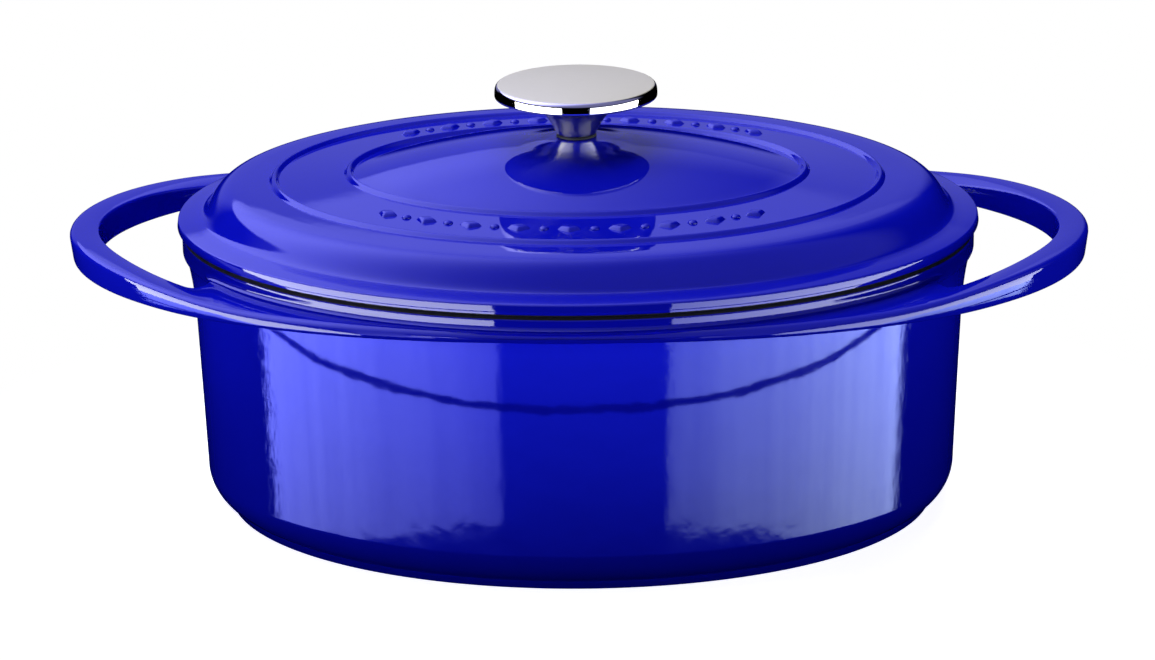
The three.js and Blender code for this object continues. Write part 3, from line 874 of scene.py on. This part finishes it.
def raised_ring(middle):
    """A soft ridge on the panels, from its outer foot to its inner foot."""
    points = []
    for share in [0, *steps_to(0, 1, 12)]:
        r = middle + ridge_width * (0.5 - share)
        base = outer_ring_base if r > outer_ring else panel_at(r)
        points.append((r, base + ring_relief * math.sin(math.pi * share) ** 1.3))
    return points


shoulder_curve = curve(
    (flange_foot, flange_top),
    (flange_foot - shoulder_width * 0.28, flange_top + shoulder_rise * 0.06),
    (flange_foot - shoulder_width * 0.36, shoulder_top - shoulder_rise * 0.05),
    (shoulder_half, shoulder_top), 22,
)


def lid_top_profile():
    """From the lid's lower edge over the shoulder, panels and dome to the screw hole."""
    outer_band = (shoulder_half - 3, outer_ring + ring_width / 2)
    inner_band = (outer_ring - ring_width / 2, inner_ring + ring_width / 2)
    return [
        (lid_half - drip_inset, lid_seat),
        (lid_half - drip_inset, lid_seat + drip_height - 0.3),
        *arc((lid_half - drip_round, lid_seat + drip_height + drip_round), drip_round, -90, 0, 4),
        *arc((lid_half - edge_lean - edge_round, lid_edge_top - edge_round), edge_round, 4, 84, 8),
        (flange_foot + 3, flange_top - 0.35),
        *shoulder_curve,
        (outer_band[0], shoulder_top + 0.35),
        *zip(steps_to(*outer_band, 4)[:-1], steps_to(shoulder_top + 0.35, outer_ring_base, 4)),
        *raised_ring(outer_ring),
        *[(r, panel_at(r)) for r in steps_to(*inner_band, 8)[:-1]],
        *raised_ring(inner_ring),
        *[(r, panel_at(r)) for r in steps_to(dome_half, boss_blend + 1, 20)],
        *curve((boss_blend, panel_at(boss_blend)), (boss_blend - 6, dome_top + 0.1),
               (boss_radius + 3, boss_top), (boss_radius - 0.6, boss_top), 10),
        (screw_hole, boss_top),
    ]


def lid_under_profile(offset):
    """The lid's underside from the screw hole out to the locating lip, moved into the metal by an offset."""
    lip_outer = mouth_half - lip_clearance
    lip_inner = lip_outer - lip_width
    lip_middle = lip_outer - lip_width / 2
    lip_bottom = lid_seat - lip_depth
    middle = shoulder_curve[len(shoulder_curve) // 2]
    return [
        (screw_hole, lid_under + offset),
        (boss_foot, lid_under + offset),
        *[(r, panel_at(r) - lid_thickness + offset) for r in steps_to(boss_foot, dome_half, 12)],
        (outer_ring, outer_ring_base - lid_thickness + offset),
        *curve((shoulder_half, shoulder_top - lid_thickness + offset),
               (middle[0] - 4, middle[1] - 1.2 + offset), (middle[0] - 2.6, middle[1] - 4 + offset),
               (lip_inner - offset, lid_seat), 10),
        *arc((lip_middle - offset, lip_bottom + lip_round + offset), lip_round, 190, 270, 4),
        *arc((lip_middle + offset, lip_bottom + lip_round + offset), lip_round, 270, 350, 4),
        (lip_outer + offset, lid_seat - 0.6 + offset),
    ]


lid_profile = lid_top_profile() + lid_under_profile(coat) + [(mouth_half, lid_seat)]
lid_bm = spin_oval(lid_profile, lid_shortfall, closed=True)
lid_outside = new_piece("lid_outside", lid_bm, cobalt_enamel)
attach(lid_outside, "lid")
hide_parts("lid_casting")


# ---- Lid ornament ----
# Low lozenges with beads between them stand on the band between the two ovals, at the front and back.
# They are cast with the lid, and the enamel has softened their edges.

lozenge_count = 9
lozenge_pitch = 18
lozenge_size = (12, 8.4)
ornament_relief = 1.1
bead_radius = 1.8
ornament_sink = 1.5
band_a = (outer_ring + inner_ring) / 2
band_b = band_a - ring_shortfall

ornament_bm = bmesh.new()
for index in range(2 * lozenge_count - 1):
    for face in (1, -1):
        angle = (index - lozenge_count + 1) * lozenge_pitch / 2 / band_a
        turn = math.atan2(-band_b * math.sin(angle), band_a * math.cos(angle)) * face
        spot = Vector((band_a * math.sin(angle), face * band_b * math.cos(angle), panel_at(band_a)))
        stand = Matrix.Translation(spot) @ Matrix.Rotation(turn, 4, "Z")
        if index % 2:
            squash = Matrix.Diagonal((1, 1, ornament_relief / bead_radius, 1))
            bmesh.ops.create_uvsphere(ornament_bm, u_segments=16, v_segments=10, radius=bead_radius,
                                      matrix=stand @ squash)
            continue
        height = ornament_relief + ornament_sink
        size = Matrix.Diagonal((lozenge_size[0], lozenge_size[1], height, 1))
        lozenge = bmesh.ops.create_cone(ornament_bm, cap_ends=True, segments=4, radius1=0.5, radius2=0.26,
                                        depth=1, matrix=stand @ size)["verts"]
        edges = {e for v in lozenge for e in v.link_edges}
        bmesh.ops.bevel(ornament_bm, geom=list(edges), offset=0.7, segments=4, profile=0.5, affect="EDGES",
                        material=-1)
bmesh.ops.recalc_face_normals(ornament_bm, faces=ornament_bm.faces)
lid_ornament = new_piece("lid_ornament", ornament_bm, cobalt_enamel, sharp=60)
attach(lid_ornament, "lid")
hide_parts("lid_casting")


# ---- Lid lining and seat ----
# The underside is cream like the pot's inside, with rows of tapered nubs that condensed steam drips
# from. The seat that rests on the rim is matt black like it.

nub_pitch = 30
nub_radius = 3
nub_depth = 2.6

lining_bm = coat_shell(lid_under_profile(0)[1:], lid_shortfall, coat * 1.3)
nub_sink = lid_thickness / 4
row_half = (outer_ring + inner_ring) / 2
while row_half > boss_foot + nub_pitch / 2:
    row_b = row_half - lid_shortfall(row_half, lid_under)
    count = round(math.pi * (row_half + row_b) / nub_pitch)
    middle = panel_at(row_half) - lid_thickness + (nub_sink - nub_depth) / 2
    for index in range(count):
        angle = 2 * math.pi * (index + 0.5) / count
        spot = Vector((row_half * math.cos(angle), row_b * math.sin(angle), middle))
        nub = bmesh.ops.create_cone(lining_bm, cap_ends=True, segments=20, radius1=nub_radius / 2,
                                    radius2=nub_radius, depth=nub_depth + nub_sink,
                                    matrix=Matrix.Translation(spot))["verts"]
        tip = {e for v in nub for e in v.link_edges if all(w.co.z < middle for w in e.verts)}
        bmesh.ops.bevel(lining_bm, geom=list(tip), offset=0.9, segments=4, profile=0.5, affect="EDGES",
                        material=-1)
    row_half -= nub_pitch
lid_lining = new_piece("lid_lining", lining_bm, cream_enamel)
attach(lid_lining, "lid")
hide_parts("lid_casting")

seat_profile = [
    (mouth_half - lip_clearance + 0.05, lid_seat - 0.5),
    (mouth_half - 0.6, lid_seat - band_lift),
    (lid_half - drip_inset, lid_seat - band_lift),
]
lid_seat_band = new_piece("lid_seat_band", coat_shell(seat_profile, lid_shortfall, coat), black_enamel)
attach(lid_seat_band, "lid")
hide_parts("lid_casting")


# ---- Knob ----
# A pressed stainless disc with a satin face and a polished rolled edge, on a softly buffed stem that
# flares like a trumpet. A screw from under the lid pulls them down on a thin black gasket.

stem_low, stem_high = [1000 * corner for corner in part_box("knob_stem")]
cap_low, cap_high = [1000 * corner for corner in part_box("knob_cap")]
cap_radius = cap_high.x
cap_top = cap_high.z
cap_base = cap_low.z
face_radius = cap_radius - 1.25
cap_sheet = 1
cap_bevel_depth = 2.4
cap_lip_round = 0.5


def spin_round(profile, closed=False):
    """Turns a profile round Z, with nothing squeezed."""
    return spin_oval(profile, lambda r, z: 0, closed, steps=96)


# Stainless steel: a light grey metal, bright where it is polished. On the face a fine satin grain runs
# one way and spreads what it mirrors into an even sheen, so the face counts as only part metallic.
grain_width = 0.00035
grain_length = grain_width / 0.06
grain_depth = 0.00001
satin_roughness = (0.3, 0.4)


def stainless(name, polish, satin_inside):
    """Stainless steel with a polished roughness, and satin on top within a radius in metres."""
    material = bpy.data.materials.new(name)
    tree = empty_tree(material)
    place = add_node(tree, "ShaderNodeTexCoord")
    axes = add_node(tree, "ShaderNodeSeparateXYZ", {"Vector": place.outputs["Object"]})
    flat = add_node(tree, "ShaderNodeCombineXYZ", {"X": axes.outputs["X"], "Y": axes.outputs["Y"]})
    radius = add_node(tree, "ShaderNodeVectorMath", {0: flat}, operation="LENGTH").outputs["Value"]
    satin = add_node(tree, "ShaderNodeMapRange", {
        "Value": radius, "From Min": satin_inside, "From Max": satin_inside + 0.0004,
        "To Min": 1.0, "To Max": 0.0,
    })
    stretch = add_node(tree, "ShaderNodeMapping", {
        "Vector": place.outputs["Object"], "Scale": (1 / grain_length, 1 / grain_width, 1 / grain_width),
    })
    grain = add_node(tree, "ShaderNodeTexNoise", {"Vector": stretch, "Scale": 1.0, "Detail": 2.0})
    rough = add_node(tree, "ShaderNodeMapRange", {
        "Value": grain, "From Min": 0.3, "From Max": 0.7,
        "To Min": satin_roughness[0], "To Max": satin_roughness[1],
    })
    finish = add_node(tree, "ShaderNodeMix", {"Factor": satin, "A": polish, "B": rough}, data_type="FLOAT")
    depth = add_node(tree, "ShaderNodeMath", {0: grain, 1: satin}, operation="MULTIPLY")
    bump = add_node(tree, "ShaderNodeBump", {"Height": depth, "Distance": grain_depth, "Strength": 0.6})
    bare = add_node(tree, "ShaderNodeMapRange", {"Value": satin, "To Min": 1.0, "To Max": 0.15})
    shader = add_node(tree, "ShaderNodeBsdfPrincipled", {
        "Base Color": hex_colour("#d8d5bf"), "Metallic": bare, "Roughness": finish.outputs["Result"],
        "Normal": bump,
    })
    add_node(tree, "ShaderNodeOutputMaterial", {"Surface": shader})
    return material


knob_steel = stainless("satin_and_polished_stainless", polish=0.05, satin_inside=face_radius / 1000)
cap_bm = spin_round([
    (0, cap_top - cap_sheet),
    (face_radius - cap_sheet, cap_top - cap_sheet),
    (cap_radius - cap_sheet, cap_top - cap_bevel_depth),
    (cap_radius - cap_sheet, cap_base),
    *arc((cap_radius - cap_lip_round, cap_base + cap_lip_round), cap_lip_round, -90, 0, 4),
    *curve((cap_radius, cap_base + 1), (cap_radius, cap_top - 1.4), (cap_radius - 0.25, cap_top - 0.5),
           (face_radius, cap_top - 0.12), 12),
    (face_radius - 0.5, cap_top),
    (0, cap_top),
])
knob_cap = new_piece("knob_disc", cap_bm, knob_steel)
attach(knob_cap, "lid")
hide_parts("knob_cap")

stem_steel = stainless("buffed_stainless", polish=0.24, satin_inside=0.0)
stem_radius = 7.1
stem_wall = 1.2
stem_height = cap_base - stem_low.z
brim = stem_high.x
brim_bottom = stem_high.z - stem_wall


def stem_flare(inward, lift, steps):
    """The trumpet's outline, moved inwards and up by the wall's thickness for the hidden side."""
    start = (stem_radius - inward, stem_low.z + lift)
    return curve(
        start, (start[0] + stem_height * 0.23, start[1] + stem_height * 0.46),
        (start[0] + stem_height * 0.42, brim_bottom + lift - stem_height * 0.21),
        (brim - 2 * stem_wall - inward, brim_bottom + lift), steps,
    )


stem_bm = spin_round([
    (screw_hole, stem_low.z), *stem_flare(0, 0, 32), (brim, brim_bottom), (brim, stem_high.z),
    *stem_flare(stem_wall, stem_wall, 32)[::-1], (screw_hole, stem_low.z + stem_wall),
], closed=True)
knob_stem = new_piece("knob_trumpet", stem_bm, stem_steel)
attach(knob_stem, "lid")
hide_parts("knob_stem")


# ---- Gasket and fixing ----
# A heat-proof black gasket, a threaded bush in the stem, and an M6 pan-head screw with a spring washer and
# a flat washer, put in from under the lid. The steel is zinc plated, so it is a soft bright grey.

def plain_finish(name, colour, roughness, metallic, mottle):
    """A finish with a faint mottled roughness at a scale in metres."""
    material = bpy.data.materials.new(name)
    tree = empty_tree(material)
    place = add_node(tree, "ShaderNodeTexCoord")
    spots = add_node(tree, "ShaderNodeTexNoise", {"Vector": place.outputs["Object"], "Scale": 1 / mottle})
    rough = add_node(tree, "ShaderNodeMapRange", {
        "Value": spots, "To Min": roughness * 0.7, "To Max": roughness * 1.3,
    })
    bump = add_node(tree, "ShaderNodeBump", {"Height": spots, "Distance": 0.00002, "Strength": 0.5})
    shader = add_node(tree, "ShaderNodeBsdfPrincipled", {
        "Base Color": hex_colour(colour), "Metallic": metallic, "Roughness": rough, "Normal": bump,
    })
    add_node(tree, "ShaderNodeOutputMaterial", {"Surface": shader})
    return material


zinc_plate = plain_finish("zinc_plated_steel", "#bcbec2", roughness=0.34, metallic=1.0, mottle=0.0008)
gasket_black = plain_finish("black_silicone", "#1a1a1b", roughness=0.6, metallic=0.0, mottle=0.0004)
carried_over = {
    "knob_gasket": gasket_black, "knob_bush": zinc_plate, "knob_screw": zinc_plate,
    "spring_washer": zinc_plate, "flat_washer": zinc_plate,
}
for node, material in carried_over.items():
    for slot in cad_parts[node].material_slots:
        slot.material = material
